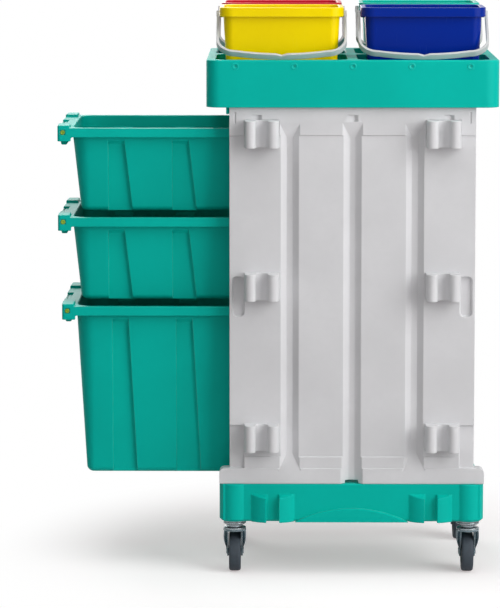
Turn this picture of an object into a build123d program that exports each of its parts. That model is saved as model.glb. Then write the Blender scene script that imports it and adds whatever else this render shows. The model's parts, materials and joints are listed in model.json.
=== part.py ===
from build123d import *
import os
from math import asin, atan, atan2, degrees, hypot, sqrt

# Housekeeping cart: base on four castors, two side panels, bucket tray on top and three drawers.
# The drawers slide along X and are shown drawn out towards -X. Millimetres, Z up, floor at z = 0.
# X = 0 is under the middle of the whole with the drawers out, Y = 0 is midway between the panels.

# Heights, from the floor up
wheel_diameter = 80
castor_height = 108
base_height = 75
panel_show = 742
tray_height = 92

# Drawers
drawer_length = 440
rim_width = 350
rim_reach = 12
rim_height = 18
drawer_wall = 3
drawer_pitch = 176
tray_to_rim = 44
shallow_depth = 165
deep_depth = 335
shallow_taper = 18
deep_taper = 20
drawer_corner = 36
drawer_floor_round = 12
drawer_travel = 331
deep_drawer_short = 7

# Tapering recesses pressed into the long walls of a drawer
recess_count = 3
recess_pitch = 126
recess_shift = 6
recess_width = 32
recess_flare = 17
recess_depth = 7
recess_below_rim = 7

# Pull bar across the front of a drawer
bar_reach = 26
bar_bow = 3
bar_corner = 5
bar_height = 26
pad_length = 57
pad_height = 5
mark_length = 90
mark_width = 10
mark_depth = 4
grip_length = 236
grip_drop = 11
grip_thick = 16
grip_tip = 10.6
plug_seat = 10.6
plug_seat_depth = 2
plug_diameter = 9
plug_length = 6
plug_below_rim = 8.5
plug_from_front = 10

# Drawer runners and their stops
runner_wall = 3
runner_side_gap = 2
runner_head_room = 5.3
runner_short = 10
ledge_wall_gap = 1.5
stop_height = 4
stop_length = 12
stop_width = 8
stop_clear = 0.8

# Side panels
panel_length = 480
panel_thick = 32
panel_wall = 4
panel_tuck = 12
foot_length = 520
foot_height = 31
foot_round = 10
field_depth = 2
field_bottom = 54
field_top = 687
groove_pitch = 122
groove_mouth = 39
groove_floor = 12
groove_depth = 13
groove_bottom = 26
groove_top = 714
groove_scoop = 28
pocket_width = 23
pocket_height = 78
pocket_depth = 9
pocket_round = 8
pocket_drop = 21
side_relief_height = 85
side_relief_depth = 4
tray_notch_pitch = 187
tray_notch_width = 20.6
tray_notch_height = 13
tray_notch_depth = 6
tray_notch_below = 2
drain_width = 26
drain_height = 6
slit_width = 3
slit_height = 21
slit_inset = 11
slit_below_tray = 10
panel_rib = 3
panel_rib_pitch = 61

# Pole clips
clip_pitch = 177
clip_width = 68
clip_height = 53
clip_low = 94
clip_middle = 392
clip_high = 691
clip_reach = 40
clip_lobe = 11
clip_lobe_x = 22
clip_wall = 3
pole_channel = 26.8
pole_axis_out = 26

# Base
base_length = 520
pillar_radius = 30
pillar_proud = 6
base_step = 2
base_wall = 4
base_edge = 4
base_rib = 3
base_rib_drop = 28
boss_pitch = 155
boss_chord = 85
boss_rise = 17
boss_height = 55
boss_slope = 7
boss_slot = 25
arch_gap = 1
arch_rise = 27
arch_proud = 8

# Tray
tray_length = 570
tray_overhang = 10
tray_corner = 29
tray_rim = 18
tray_wall = 4
tray_edge = 3
well_depth = 50
well_corner = 24
ridge_width = 20
seat_rib = 4
lug_thick = 6
lug_width = 24
lug_drop = 14
dimple_count = 5
dimple_pitch = 114
dimple_diameter = 5
dimple_depth = 1
dimple_below_rim = 12

# Buckets and their bails
bucket_height = 150
bucket_side_room = 58
bucket_flange = 7
bucket_rim = 18
bucket_edge = 1.2
bucket_wall = 2.5
bucket_taper = 8
bucket_corner = 28
bucket_floor_round = 8
pivot_below_rim = 15
ear_diameter = 15
bail_pin = 7
bail_pin_length = 7
bail_strap = 5
bail_height = 12
bail_room = 21
bail_on_rim = 2.6
bail_bow = 9
bail_corner = 36
bail_eye = 12
bail_eye_proud = 0.6
notch_width = 22
notch_depth = 4

# Castors
castor_trail = 28
tyre_width = 23
tyre_thick = 8
tyre_shoulder = 3
axle_diameter = 8
axle_head = 13
axle_head_thick = 2
hub_boss = 22
hub_web = 8
hub_rim = 4
hub_inset = 1
fork_slot = 25
fork_width = 44
fork_foot = 31
fork_wall = 2.2
fork_hollow = 6
fork_crown = 90
head_diameter = 45
neck_diameter = 35
ring_thick = 3
mount_plate = 3
stem_diameter = 12
stem_length = 38
kingpin_diameter = 10
kingpin_length = 19
race_gap = 0.3

# Clearances
seat_gap = 0.3
pin_gap = 0.1
press_gap = 0.05

# Levels and planes that several pieces share
axle_z = wheel_diameter / 2
deck_z = castor_height + base_height
skirt_z = deck_z + panel_show
rim_z = skirt_z + tray_height
well_z = rim_z - well_depth
runner_plane = rim_width / 2 + runner_side_gap + runner_wall
panel_face = runner_plane + panel_thick
field_face = panel_face - field_depth
base_face = panel_face + base_step
tray_width = 2 * (panel_face + tray_overhang)
body_width = rim_width - 2 * rim_reach
bar_front = drawer_length / 2 + bar_reach
pillar_x = base_length / 2 - pillar_radius
arch_span = 2 * (boss_pitch - arch_gap) - boss_chord
pillar_y = base_face + pillar_proud - pillar_radius
pole_y = field_face + pole_axis_out
drawer_tops = [skirt_z - tray_to_rim - level * drawer_pitch for level in range(3)]
well_length = (tray_length - 2 * tray_rim - ridge_width) / 2
well_width = (tray_width - 2 * tray_rim - ridge_width) / 2
bucket_x = (ridge_width + well_length) / 2
bucket_y = (ridge_width + well_width) / 2
bucket_z = well_z + seat_gap
pivot_z = bucket_z + bucket_height - pivot_below_rim
bail_width = seat_gap + bail_strap + 2 * bail_eye_proud
bucket_length = 2 * (bucket_x - bail_width) - bail_room
bucket_width = 2 * bucket_y - bucket_side_room
bail_reach = hypot(well_width / 2 + bail_on_rim, pivot_z - rim_z - bail_height / 2)
clip_levels = (clip_low, clip_middle, clip_high)

# The whole spans from the drawn-out pull bar to the far edge of the tray
cart_x = (bar_front + bar_bow + drawer_travel - tray_length / 2) / 2


def save(shape, node):
    """Set a piece out along X from the cart's own middle and write it."""
    placed = Pos(cart_x, 0, 0) * shape
    placed.label = node
    export_step(placed, f"parts/{node}.step")


def tapered_block(length, width, depth, taper, radius):
    """Block hanging from z = 0 whose walls lean inwards by taper on the way down."""
    rim = RectangleRounded(length, width, radius)
    return extrude(rim, depth, dir=(0, 0, -1), taper=degrees(atan(taper / depth)))


def round_foot(block, radius):
    """Round the edge between the floor of a tapered block and its walls."""
    return fillet(block.faces().sort_by(Axis.Z)[0].edges(), radius)


def four_ways(shape):
    """The shape at all four corners of the plan."""
    near = shape + mirror(shape, Plane.YZ)
    return near + mirror(near, Plane.XZ)


def extrude_x(points, length):
    """Prism along X, centred, from an outline in Y and Z."""
    return extrude(Plane.YZ * Polygon(*points, align=None), length / 2, both=True)


def extrude_y(points, length):
    """Prism along Y, centred, from an outline in X and Z."""
    return extrude(Plane.XZ * Polygon(*points, align=None), length / 2, both=True)


# Drawers


def recess_prisms(depth, grow):
    """Trapezoids that widen downwards, right across the drawer; grow is the wall behind them."""
    top = -rim_height - recess_below_rim + grow
    low = -depth - drawer_floor_round
    left = -recess_width / 2 - grow
    right = recess_width / 2 + grow
    outline = [(left, top), (right, top), (right + recess_flare, low), (left, low)]
    prism = extrude_y(outline, rim_width)
    first = -(recess_count - 1) / 2 * recess_pitch - recess_shift
    return [Pos(first + i * recess_pitch, 0, 0) * prism for i in range(recess_count)]


def side_core(depth, taper, wall):
    """Middle of the drawer's width that the recesses leave, below a slope; wall is what lies behind them."""
    inset = recess_depth + wall
    start = wall * sqrt(2) - rim_height - recess_below_rim
    outline = []
    for drop in (0, start, start - inset, -depth - drawer_floor_round):
        step = inset if drop < start else 0
        outline.append((body_width / 2 - step + taper / depth * drop, drop))
    outline += [(-y, z) for y, z in reversed(outline)]
    return extrude_x(outline, 2 * drawer_length)


def lip_outline(inset):
    """Plan of the rim flange and the bowed pull bar, stepped in by inset."""
    back = drawer_length / 2 + rim_reach
    half = rim_width / 2
    corner = drawer_corner + rim_reach
    edge = [
        Line((back - corner, -half), (-bar_front, -half)),
        ThreePointArc((-bar_front, -half), (-bar_front - bar_bow, 0), (-bar_front, half)),
        Line((-bar_front, half), (back - corner, half)),
        RadiusArc((back - corner, half), (back, half - corner), corner),
        Line((back, half - corner), (back, corner - half)),
        RadiusArc((back, corner - half), (back - corner, -half), corner),
    ]
    plan = make_face(edge)
    front = plan.vertices().sort_by(Axis.X)[:2]
    plan = fillet(front, bar_corner)
    return offset(plan, -inset) if inset else plan


def front_strip(inner):
    """Plan rectangle over the pull bar, ending at the distance inner from the drawer's middle."""
    return Pos(-inner, 0) * Rectangle(2 * bar_reach, 2 * rim_width, align=(Align.MAX, Align.CENTER))


def plug_places():
    """The end faces of the pull bar, with Z pointing outwards."""
    x = plug_from_front - bar_front
    return [
        Location((x, -rim_width / 2, -plug_below_rim), (90, 0, 0)),
        Location((x, rim_width / 2, -plug_below_rim), (-90, 0, 0)),
    ]


def pull_grip():
    """Tapered tongue under the middle of the pull bar, for the fingers."""
    front = drawer_wall / 2 - bar_front
    taper = (grip_thick - grip_tip) / 2
    low = -bar_height - grip_drop
    top = -drawer_wall / 2
    outline = [
        (front, top),
        (front + grip_thick, top),
        (front + grip_thick, -bar_height),
        (front + grip_thick - taper, low),
        (front + taper, low),
        (front, -bar_height),
    ]
    grip = extrude_y(outline, grip_length)
    return fillet(grip.edges().filter_by(Axis.Y).sort_by(Axis.Z)[:2], taper)


def pull_bar():
    """Deeper lip at the front with raised end pads, a notch in its top and seats for the plugs."""
    plan = lip_outline(0)
    bar = extrude(plan & front_strip(drawer_length / 2), -bar_height)
    pad_band = Pos(0, (rim_width - pad_length) / 2) * Rectangle(4 * bar_front, pad_length)
    pad = extrude(plan & front_strip(drawer_length / 2 + drawer_wall) & pad_band, pad_height)
    pad = chamfer(pad.edges().group_by(Axis.Z)[-1], pad_height / 4)
    bar += pad + mirror(pad, Plane.XZ)
    hollow = plan_channel(bar_height)
    seat_wall = plug_seat + 2 * drawer_wall
    block = Box(seat_wall, seat_wall, plug_length + plug_seat_depth, align=(Align.CENTER, Align.CENTER, Align.MAX))
    for place in plug_places():
        hollow -= place * block
    return bar - hollow + pull_grip()


def plan_channel(depth):
    """Room inside the rim flange and pull bar, open below."""
    return Pos(0, 0, -drawer_wall) * extrude(lip_outline(drawer_wall), -depth)


def drawer(depth, taper):
    """Open drawer with its rim at z = 0, its middle at x = 0 and the pull bar towards -X."""
    inner_length = drawer_length - 2 * drawer_wall
    inner_width = body_width - 2 * drawer_wall
    inner_corner = drawer_corner - drawer_wall
    shell = tapered_block(drawer_length, body_width, depth, taper, drawer_corner)
    shell = round_foot(shell, drawer_floor_round)
    inner_taper = taper * (depth - drawer_wall) / depth
    hollow = tapered_block(inner_length, inner_width, depth - drawer_wall, inner_taper, inner_corner)
    hollow = round_foot(hollow, drawer_floor_round - drawer_wall)
    outer_core = side_core(depth, taper, 0)
    inner_core = side_core(depth, taper, drawer_wall)
    for prism in recess_prisms(depth, 0):
        shell -= prism - outer_core
    for prism in recess_prisms(depth, drawer_wall):
        hollow -= prism - inner_core

    rim = extrude(lip_outline(0) - front_strip(drawer_length / 2), -rim_height)
    body = rim - plan_channel(rim_height) + pull_bar() + shell

    # Notch in the front top edge of the bar
    mark = Box(2 * (mark_width + bar_bow), mark_length, 2 * mark_depth)
    body -= Pos(-bar_front - bar_bow, 0, 0) * mark

    # Lugs at the back of the rim that meet the stops on the runners
    lug = Box(stop_length, stop_width, stop_height, align=(Align.MAX, Align.MAX, Align.MIN))
    lug = Pos(drawer_length / 2, rim_width / 2, 0) * lug
    body += lug + mirror(lug, Plane.XZ)

    # Square seat and bore for each colour plug
    seat = Box(plug_seat, plug_seat, 2 * plug_seat_depth)
    bore = Cylinder(plug_diameter / 2, 2 * plug_length)
    for place in plug_places():
        body -= place * seat + place * bore
    return body - hollow


def colour_plugs():
    """Push-in plugs of the pull bar, bevelled at the outside."""
    radius = plug_diameter / 2 - press_gap
    plug = Cylinder(radius, plug_length, align=(Align.CENTER, Align.CENTER, Align.MAX))
    plug = chamfer(plug.edges().group_by(Axis.Z)[-1], plug_seat_depth / 2)
    return Compound(children=[place * plug for place in plug_places()])


# Runners


def runner(top):
    """Channel on the -Y panel that holds the drawer's rim from below and above."""
    inside = -rim_width / 2 - runner_side_gap
    outside = inside - runner_wall
    lip = -body_width / 2 - ledge_wall_gap
    low = top - rim_height - seat_gap
    high = top + runner_head_room
    channel = [
        (outside, low - runner_wall),
        (lip, low - runner_wall),
        (lip, low),
        (inside, low),
        (inside, high),
        (lip, high),
        (lip, high + runner_wall),
        (outside, high + runner_wall),
    ]
    rail = extrude_x(channel, drawer_length - runner_short)
    stop_face = drawer_length / 2 - stop_length - drawer_travel - seat_gap
    stop_drop = runner_head_room - stop_clear
    stop = Box(stop_length, stop_width, stop_drop, align=(Align.MAX, Align.MIN, Align.MAX))
    return rail + Pos(stop_face, inside, high) * stop


# Side panels, built for the -Y side with the outer face at y = -panel_face


def groove(grow, low):
    """One upright groove with sloping walls and scooped ends; grow is the wall behind it."""
    front = panel_face + base_step
    deep = panel_face - groove_depth - grow
    slope = (groove_mouth - groove_floor) / 2 / groove_depth
    floor = groove_floor / 2 + grow
    mouth = floor + slope * (front - deep)
    section = [(-mouth, -front), (mouth, -front), (floor, -deep), (-floor, -deep)]
    rise = groove_scoop / groove_depth * (front - deep)
    bottom = deck_z + low - grow
    high = deck_z + groove_top + grow
    side = [(-front, bottom), (-deep, bottom + rise), (-deep, high - rise), (-front, high)]
    upright = extrude(Plane.XY * Polygon(*section, align=None), rim_z)
    return upright & extrude_x(side, 2 * groove_mouth)


def groove_places():
    """Middles of the grooves and the heights where they start; the middle one runs out below."""
    out = -groove_bottom - 2 * groove_scoop
    return [(-groove_pitch, groove_bottom), (0, out), (groove_pitch, groove_bottom)]


def finger_pocket(grow):
    """Rounded pocket beside the middle clip, towards the panel's end."""
    x = clip_pitch + (clip_width + pocket_width) / 2
    z = deck_z + clip_levels[1] - pocket_drop
    mouth = RectangleRounded(pocket_width + 2 * grow, pocket_height + 2 * grow, pocket_round)
    inward = Location((x, -panel_face, z), (-90, 0, 0))
    return inward * extrude(mouth, pocket_depth + grow)


def side_relief(grow):
    """Step in the panel's end stile, standing on the foot and open to the end."""
    inner = clip_pitch + clip_width / 2 + seat_gap - grow
    width = panel_length / 2 - inner
    depth = field_depth + side_relief_depth + grow
    step = Box(width, depth, side_relief_height + 2 * grow, align=(Align.MIN, Align.MIN, Align.MIN))
    return Pos(inner, -panel_face, deck_z + foot_height - grow) * step


def tray_notch(grow):
    """Blind notch under the tray's edge whose floor falls from the left to a steep right wall."""
    half = tray_notch_width / 2
    low = deck_z + panel_show - tray_notch_below - tray_notch_height - grow
    deep = tray_notch_depth + grow
    plan = Polygon((-half - grow, 0), (half / 3, deep), (half + grow, 0), align=None)
    return Pos(0, -panel_face, low) * extrude(plan, tray_notch_height + 2 * grow)


def foot_outline():
    """Front view of the panel's foot, rounded at its shoulders."""
    foot = Pos(0, foot_height / 2) * Rectangle(foot_length, foot_height)
    return fillet(foot.vertices().group_by(Axis.Y)[-1], foot_round)


def panel_outline():
    """Front view of the panel: an upright sheet on its wider foot."""
    top = panel_show + panel_tuck
    return Pos(0, top / 2) * Rectangle(panel_length, top) + foot_outline()


def facing(sketch, depth, thick):
    """A front-view sketch standing on the deck, cut from depth behind the face inwards."""
    return Location((0, depth - panel_face, deck_z), (90, 0, 0)) * extrude(sketch, -thick)


def both_ends(shape):
    """The shape and its mirror image at the other end of the panel."""
    return shape + mirror(shape, Plane.YZ)


def side_panel():
    """Moulded side panel, open towards the drawers."""
    outline = panel_outline()
    inside = offset(outline, -panel_wall, kind=Kind.INTERSECTION)
    sheet = facing(outline, 0, panel_thick) + facing(foot_outline(), -base_step, base_step)
    hollow = facing(inside, field_depth + panel_wall, panel_thick)
    field = Pos(0, (field_bottom + field_top) / 2) * Rectangle(panel_length, field_top - field_bottom)
    sheet -= facing(field, 0, field_depth)
    for x, low in groove_places():
        sheet -= Pos(x, 0, 0) * groove(0, low)
        hollow -= Pos(x, 0, 0) * groove(panel_wall, low)
    for shape in (finger_pocket, side_relief):
        sheet -= both_ends(shape(0))
        hollow -= both_ends(shape(panel_wall))
    for x in (-tray_notch_pitch, 0, tray_notch_pitch):
        sheet -= Pos(x, 0, 0) * tray_notch(0)
        hollow -= Pos(x, 0, 0) * tray_notch(panel_wall)

    # Upright ribs between the grooves, which carry the runners
    rib = Box(panel_rib, panel_thick, 2 * rim_z, align=(Align.CENTER, Align.MIN, Align.CENTER))
    for step in (-3, -1, 1, 3):
        hollow -= Pos(step * panel_rib_pitch, -panel_face, 0) * rib
    panel = sheet - hollow

    # Seats of the pole clips, slits near the ends and the drain under the middle groove
    seat = Rectangle(clip_width + 2 * seat_gap, clip_height + 2 * seat_gap)
    for level in clip_levels:
        for x in (-clip_pitch, clip_pitch):
            panel -= facing(Pos(x, level) * seat, 0, field_depth)
    slit = Rectangle(slit_width, slit_height)
    slit_y = panel_show - slit_below_tray - slit_height / 2
    for x in (slit_inset - panel_length / 2, panel_length / 2 - slit_inset):
        panel -= facing(Pos(x, slit_y) * slit, 0, field_depth)
    drain = Pos(0, drain_height / 2) * Rectangle(drain_width, drain_height)
    return panel - facing(drain, -base_step, base_step + panel_thick)


# Pole clips


def clip_section():
    """Plan of a clip: two round lobes beside a channel, seated on y = 0 and open towards +Y."""
    half = clip_width / 2
    lobe_y = clip_reach - clip_lobe
    shoulder = clip_lobe_x + clip_lobe
    block = Polygon((-half, 0), (half, 0), (shoulder, lobe_y), (-shoulder, lobe_y), align=None)
    for x in (-clip_lobe_x, clip_lobe_x):
        block += Pos(x, lobe_y) * Circle(clip_lobe)
    gap = 2 * (clip_lobe_x - clip_lobe)
    block -= Pos(0, lobe_y) * Rectangle(gap, 2 * clip_lobe)
    return block - Pos(0, pole_axis_out) * Circle(pole_channel / 2)


def clip_column():
    """One column of moulded clips, hollow from below, seated on the -Y panel's field at x = 0."""
    section = clip_section()
    hollow = extrude(offset(section, -clip_wall), clip_height - clip_wall)
    clip = Rot(0, 0, 180) * (extrude(section, clip_height) - hollow)
    return Compound(
        children=[Pos(0, -field_face, deck_z + level - clip_height / 2) * clip for level in clip_levels]
    )


# Base


def boss():
    """Bulge with a slot down its middle and a sloping top, standing on z = 0 in front of y = 0."""
    half = boss_chord / 2
    plan = make_face([ThreePointArc((-half, 0), (0, -boss_rise), (half, 0)), Line((half, 0), (-half, 0))])
    plan -= Rectangle(boss_slot, 3 * boss_rise)
    side = [(0, 0), (-boss_rise, 0), (-boss_rise, boss_height - boss_slope), (0, boss_height)]
    return extrude(plan, boss_height) & extrude_x(side, 2 * boss_chord)


def base():
    """Moulded platform, open below, with a socket for a castor in each corner pillar."""
    flat_x = base_length / 2 - pillar_proud
    pillars = four_ways(Pos(pillar_x, pillar_y) * Circle(pillar_radius))
    plan = Rectangle(2 * flat_x, 2 * base_face) + pillars
    block = Pos(0, 0, castor_height) * extrude(plan, base_height)
    block = chamfer(block.faces().sort_by(Axis.Z)[0].edges(), base_edge)
    inside = Rectangle(2 * (flat_x - base_wall), 2 * (base_face - base_wall)) - pillars
    hollow = Pos(0, 0, castor_height) * extrude(inside, base_height - base_wall)
    rib_z = deck_z - base_wall
    hang = (Align.CENTER, Align.CENTER, Align.MAX)
    rib_x = Pos(0, 0, rib_z) * Box(2 * flat_x, base_rib, base_rib_drop, align=hang)
    rib_y = Pos(0, 0, rib_z) * Box(base_rib, 2 * base_face, base_rib_drop, align=hang)
    for step in (-1, 1):
        hollow -= Pos(0, step * pillar_y / 2, 0) * rib_x
        hollow -= Pos(step * pillar_x / 2, 0, 0) * rib_y
    block -= hollow

    # Slotted bosses and the low arch on both long faces
    block += four_ways(Pos(boss_pitch, -base_face, castor_height) * boss())
    arch = make_face(
        [
            ThreePointArc((-arch_span / 2, 0), (0, arch_rise), (arch_span / 2, 0)),
            Line((arch_span / 2, 0), (-arch_span / 2, 0)),
        ]
    )
    arch = Location((0, -base_face, castor_height), (90, 0, 0)) * extrude(arch, arch_proud)
    block += arch + mirror(arch, Plane.XZ)

    stand = (Align.CENTER, Align.CENTER, Align.MIN)
    socket = Cylinder(stem_diameter / 2 + press_gap, stem_length + seat_gap, align=stand)
    for x in (-pillar_x, pillar_x):
        for y in (-pillar_y, pillar_y):
            block -= Pos(x, y, castor_height) * socket
    return block


# Tray


def tray():
    """Tray with four bucket wells, its skirt hanging round the top of the panels."""
    outer = extrude(RectangleRounded(tray_length, tray_width, tray_corner), tray_height)
    outer = fillet(outer.faces().sort_by(Axis.Z)[-1].edges(), tray_edge)
    inner_length = tray_length - 2 * tray_wall
    inner_width = tray_width - 2 * tray_wall
    under = RectangleRounded(inner_length, inner_width, tray_corner - tray_wall)
    under = extrude(under, tray_height - tray_wall)
    well = extrude(RectangleRounded(well_length, well_width, well_corner), -well_depth)
    pan_length = well_length + 2 * tray_wall
    pan_width = well_width + 2 * tray_wall
    pan = extrude(RectangleRounded(pan_length, pan_width, well_corner + tray_wall), -well_depth - tray_wall)
    middle = Pos(bucket_x, bucket_y, tray_height)
    under -= four_ways(middle * pan)

    # Ribs that stand on the panels' top edges and lugs outside the panels' drawer ends
    seat_z = panel_tuck
    rib = Box(panel_length, seat_rib, tray_height - seat_z, align=(Align.CENTER, Align.CENTER, Align.MIN))
    for y in (runner_plane + panel_thick / 4, runner_plane + panel_thick * 3 / 4):
        for side in (-y, y):
            under -= Pos(0, side, seat_z) * rib
    lug = Box(lug_thick, lug_width, tray_height - tray_wall + lug_drop, align=(Align.MAX, Align.CENTER, Align.MIN))
    lug = Pos(-panel_length / 2 - seat_gap, runner_plane + panel_thick / 2, -lug_drop) * lug
    lugs = lug + mirror(lug, Plane.XZ)
    wells = four_ways(middle * well)
    block = outer - under - wells + (lugs - wells)

    dimple = Cylinder(dimple_diameter / 2, 2 * dimple_depth)
    first = -(dimple_count - 1) / 2 * dimple_pitch
    for i in range(dimple_count):
        for y in (-tray_width / 2, tray_width / 2):
            spot = Location((first + i * dimple_pitch, y, tray_height - dimple_below_rim), (90, 0, 0))
            block -= spot * dimple
    return Pos(0, 0, skirt_z) * block


# Buckets


def bucket():
    """Rectangular bucket standing on z = 0 with a turned-down rim and an ear at each end."""
    wall_length = bucket_length - 2 * bucket_flange
    wall_width = bucket_width - 2 * bucket_flange
    wall_corner = bucket_corner - bucket_flange
    shell = tapered_block(wall_length, wall_width, bucket_height, bucket_taper, wall_corner)
    shell = round_foot(shell, bucket_floor_round)
    inner_length = wall_length - 2 * bucket_wall
    inner_width = wall_width - 2 * bucket_wall
    inner_height = bucket_height - bucket_wall
    inner_taper = bucket_taper * inner_height / bucket_height
    hollow = tapered_block(inner_length, inner_width, inner_height, inner_taper, wall_corner - bucket_wall)
    hollow = round_foot(hollow, bucket_floor_round - bucket_wall)
    rim = extrude(RectangleRounded(bucket_length, bucket_width, bucket_corner), -bucket_rim)
    rim = chamfer(rim.faces().sort_by(Axis.Z)[-1].edges(), bucket_edge)
    skirt_length = bucket_length - 2 * bucket_wall
    skirt_width = bucket_width - 2 * bucket_wall
    under = extrude(RectangleRounded(skirt_length, skirt_width, bucket_corner - bucket_wall), -bucket_rim)
    body = rim - Pos(0, 0, -bucket_wall) * under + shell
    ear_length = bucket_flange + bucket_taper
    ear = Cylinder(ear_diameter / 2, ear_length, align=(Align.CENTER, Align.CENTER, Align.MAX))
    bore = Cylinder(bail_pin / 2 + pin_gap, 2 * (bail_pin_length + seat_gap))
    for side in (-1, 1):
        end = Location((side * bucket_length / 2, 0, -pivot_below_rim), (0, side * 90, 0))
        body += end * ear
        body -= end * bore
    return Pos(0, 0, bucket_height) * (body - hollow)


def bail():
    """Strap handle lying in X and Y from its pivots at y = 0, with the notched bar towards -Y."""
    inner = bucket_length / 2 + seat_gap
    line = inner + bail_eye_proud + bail_strap / 2
    bend = bail_reach - bail_bow
    bow_x = line - bail_corner
    bow_radius = (bow_x**2 + bail_bow**2) / (2 * bail_bow)
    path = [
        Line((-line, 0), (-line, bail_corner - bend)),
        RadiusArc((-line, bail_corner - bend), (-bow_x, -bend), -bail_corner),
        RadiusArc((-bow_x, -bend), (bow_x, -bend), -bow_radius),
        RadiusArc((bow_x, -bend), (line, bail_corner - bend), -bail_corner),
        Line((line, bail_corner - bend), (line, 0)),
    ]
    strap = make_face(offset(Wire(path), bail_strap / 2, side=Side.BOTH))
    handle = extrude(strap, bail_height / 2, both=True)
    low = bail_height / 2 - notch_depth
    high = bail_height / 2 + notch_depth
    notch = extrude_y([(-notch_width, high), (0, low), (notch_width, high)], 4 * bail_strap)
    handle -= Pos(0, -bail_reach, 0) * notch
    eye = Cylinder(bail_eye / 2, bail_strap + 2 * bail_eye_proud)
    pin = Cylinder(bail_pin / 2, bail_pin_length, align=(Align.CENTER, Align.CENTER, Align.MAX))
    for side in (-1, 1):
        handle += Location((side * line, 0, 0), (0, 90, 0)) * eye
        handle += Location((side * inner, 0, 0), (0, side * 90, 0)) * pin
    return handle


def bail_angle():
    """Fall of the bail below level, in degrees, when its bar lies on the tray's edge."""
    drop = pivot_z - rim_z - seat_gap
    reach = bail_reach + bail_strap / 2
    half = bail_height / 2
    return degrees(asin(drop / hypot(reach, half)) - atan2(half, reach))


# Castors, built round the swivel axis with the wheel trailing towards +Y


def castor_stem():
    """Fixed disc and stem above the fork, with the kingpin that the fork turns on."""
    stand = (Align.CENTER, Align.CENTER, Align.MIN)
    hang = (Align.CENTER, Align.CENTER, Align.MAX)
    stem = Cylinder(stem_diameter / 2, stem_length, align=stand)
    stem += Cylinder(head_diameter / 2, mount_plate, align=hang)
    stem += Cylinder(kingpin_diameter / 2, kingpin_length, align=hang)
    return Pos(0, 0, castor_height) * stem


def swivel_head():
    """Ringed head of the fork, bored for the kingpin."""
    top = castor_height - mount_plate - race_gap
    bore = kingpin_diameter / 2 + pin_gap
    ring = head_diameter / 2
    neck = neck_diameter / 2
    half = [
        (bore, fork_crown - ring_thick),
        (ring, fork_crown - ring_thick),
        (ring, fork_crown),
        (ring - ring_thick, fork_crown + ring_thick),
        (neck, fork_crown + ring_thick),
        (neck, top - 2 * ring_thick),
        (ring, top - ring_thick),
        (ring, top),
        (bore, top),
    ]
    return revolve(Plane.XZ * Polygon(*half, align=None), Axis.Z)


def fork_leg():
    """Pressed leg on the +X side: bulged, hollowed in front and narrowing towards the axle."""
    near = fork_slot / 2
    foot = fork_foot / 2
    wide = fork_width / 2
    low = axle_z - axle_head
    drop = fork_crown - axle_z
    bulge = make_face(
        [
            Line((near, low), (foot, low)),
            Line((foot, low), (foot, axle_z + axle_head / 2)),
            ThreePointArc(
                (foot, axle_z + axle_head / 2), (wide, fork_crown - drop / 3), (wide - ring_thick / 2, fork_crown)
            ),
            Line((wide - ring_thick / 2, fork_crown), (near, fork_crown)),
            Line((near, fork_crown), (near, low)),
        ]
    )
    room = Pos(fork_wall, 0) * bulge & Pos(-fork_wall, -fork_wall) * bulge
    room -= Pos(wide, axle_z) * Rectangle(2 * wide, axle_head)
    room -= Pos(wide, low) * Rectangle(2 * wide, axle_head)
    round_end = axle_head - fork_wall
    side = make_face(
        [
            Line((-head_diameter / 3, fork_crown), (head_diameter / 2 - ring_thick, fork_crown)),
            Line((head_diameter / 2 - ring_thick, fork_crown), (castor_trail + round_end, axle_z)),
            ThreePointArc(
                (castor_trail + round_end, axle_z),
                (castor_trail, axle_z - round_end),
                (castor_trail - round_end, axle_z),
            ),
            Line((castor_trail - round_end, axle_z), (-head_diameter / 3, fork_crown)),
        ]
    )
    leg = extrude(Plane.XZ * bulge, 3 * castor_trail, both=True) & extrude(Plane.YZ * side, fork_width)
    front = extrude(Plane.YZ * (side - Pos(fork_hollow, 0) * side), fork_width)
    return leg - (extrude(Plane.XZ * room, 3 * castor_trail, both=True) & front)


def castor_fork():
    """Fork with its swivel head, two legs and the bore for the axle."""
    leg = fork_leg()
    fork = swivel_head() + leg + mirror(leg, Plane.YZ)
    return fork - axle_line() * Cylinder(axle_diameter / 2 + press_gap, 2 * fork_width)


def axle_line():
    """Place of the wheel's axle, with Z along it."""
    return Location((0, castor_trail, axle_z), (0, 90, 0))


def castor_axle():
    """Through bolt with a low head outside each leg."""
    seat = fork_foot / 2 + press_gap
    half = [
        (0, -seat - axle_head_thick),
        (axle_head / 2, -seat - axle_head_thick),
        (axle_head / 2, -seat),
        (axle_diameter / 2, -seat),
        (axle_diameter / 2, seat),
        (axle_head / 2, seat),
        (axle_head / 2, seat + axle_head_thick),
        (0, seat + axle_head_thick),
    ]
    return axle_line() * revolve(Plane.XZ * Polygon(*half, align=None), Axis.Z)


def castor_hub():
    """Moulded wheel centre with a bored boss, a thin web and the rim under the tyre."""
    rim = wheel_diameter / 2 - tyre_thick - hub_rim
    wide = tyre_width / 2
    face = fork_slot / 2 - seat_gap
    bore = axle_diameter / 2 + pin_gap
    boss = hub_boss / 2
    half = [
        (bore, -face),
        (boss, -face),
        (boss, -hub_web / 2),
        (rim, -hub_web / 2),
        (rim, hub_inset - wide),
        (rim + hub_rim, hub_inset - wide),
        (rim + hub_rim, wide - hub_inset),
        (rim, wide - hub_inset),
        (rim, hub_web / 2),
        (boss, hub_web / 2),
        (boss, face),
        (bore, face),
    ]
    return axle_line() * revolve(Plane.XZ * Polygon(*half, align=None), Axis.Z)


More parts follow.
